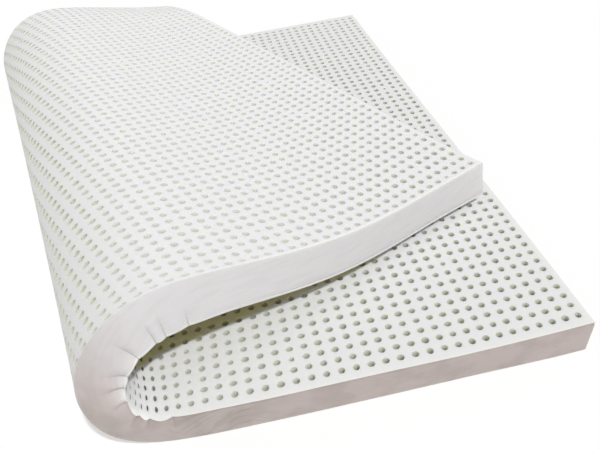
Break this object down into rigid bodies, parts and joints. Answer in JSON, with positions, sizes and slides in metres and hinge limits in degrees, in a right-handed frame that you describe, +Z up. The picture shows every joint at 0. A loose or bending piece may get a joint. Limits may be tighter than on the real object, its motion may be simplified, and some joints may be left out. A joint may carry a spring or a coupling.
{
  "type": "latex mattress",
  "caption": "Moulded slab of latex foam pierced by an even net of pin holes, lying folded over on itself on a slanted fold.",
  "frame": {"origin": "middle of the footprint of the folded slab, on the floor", "axes": "+Z up; the lower layer's long walls run along X with its free end at +X and the fold at -X; the wall seen in the picture faces -Y"},
  "size_m": [1.1952, 1.7796, 0.262],
  "materials": {
    "latex foam": "matte, closed moulded skin"
  },
  "bodies": {
    "root": {"slab": "latex foam"}
  },
  "joints": []
}
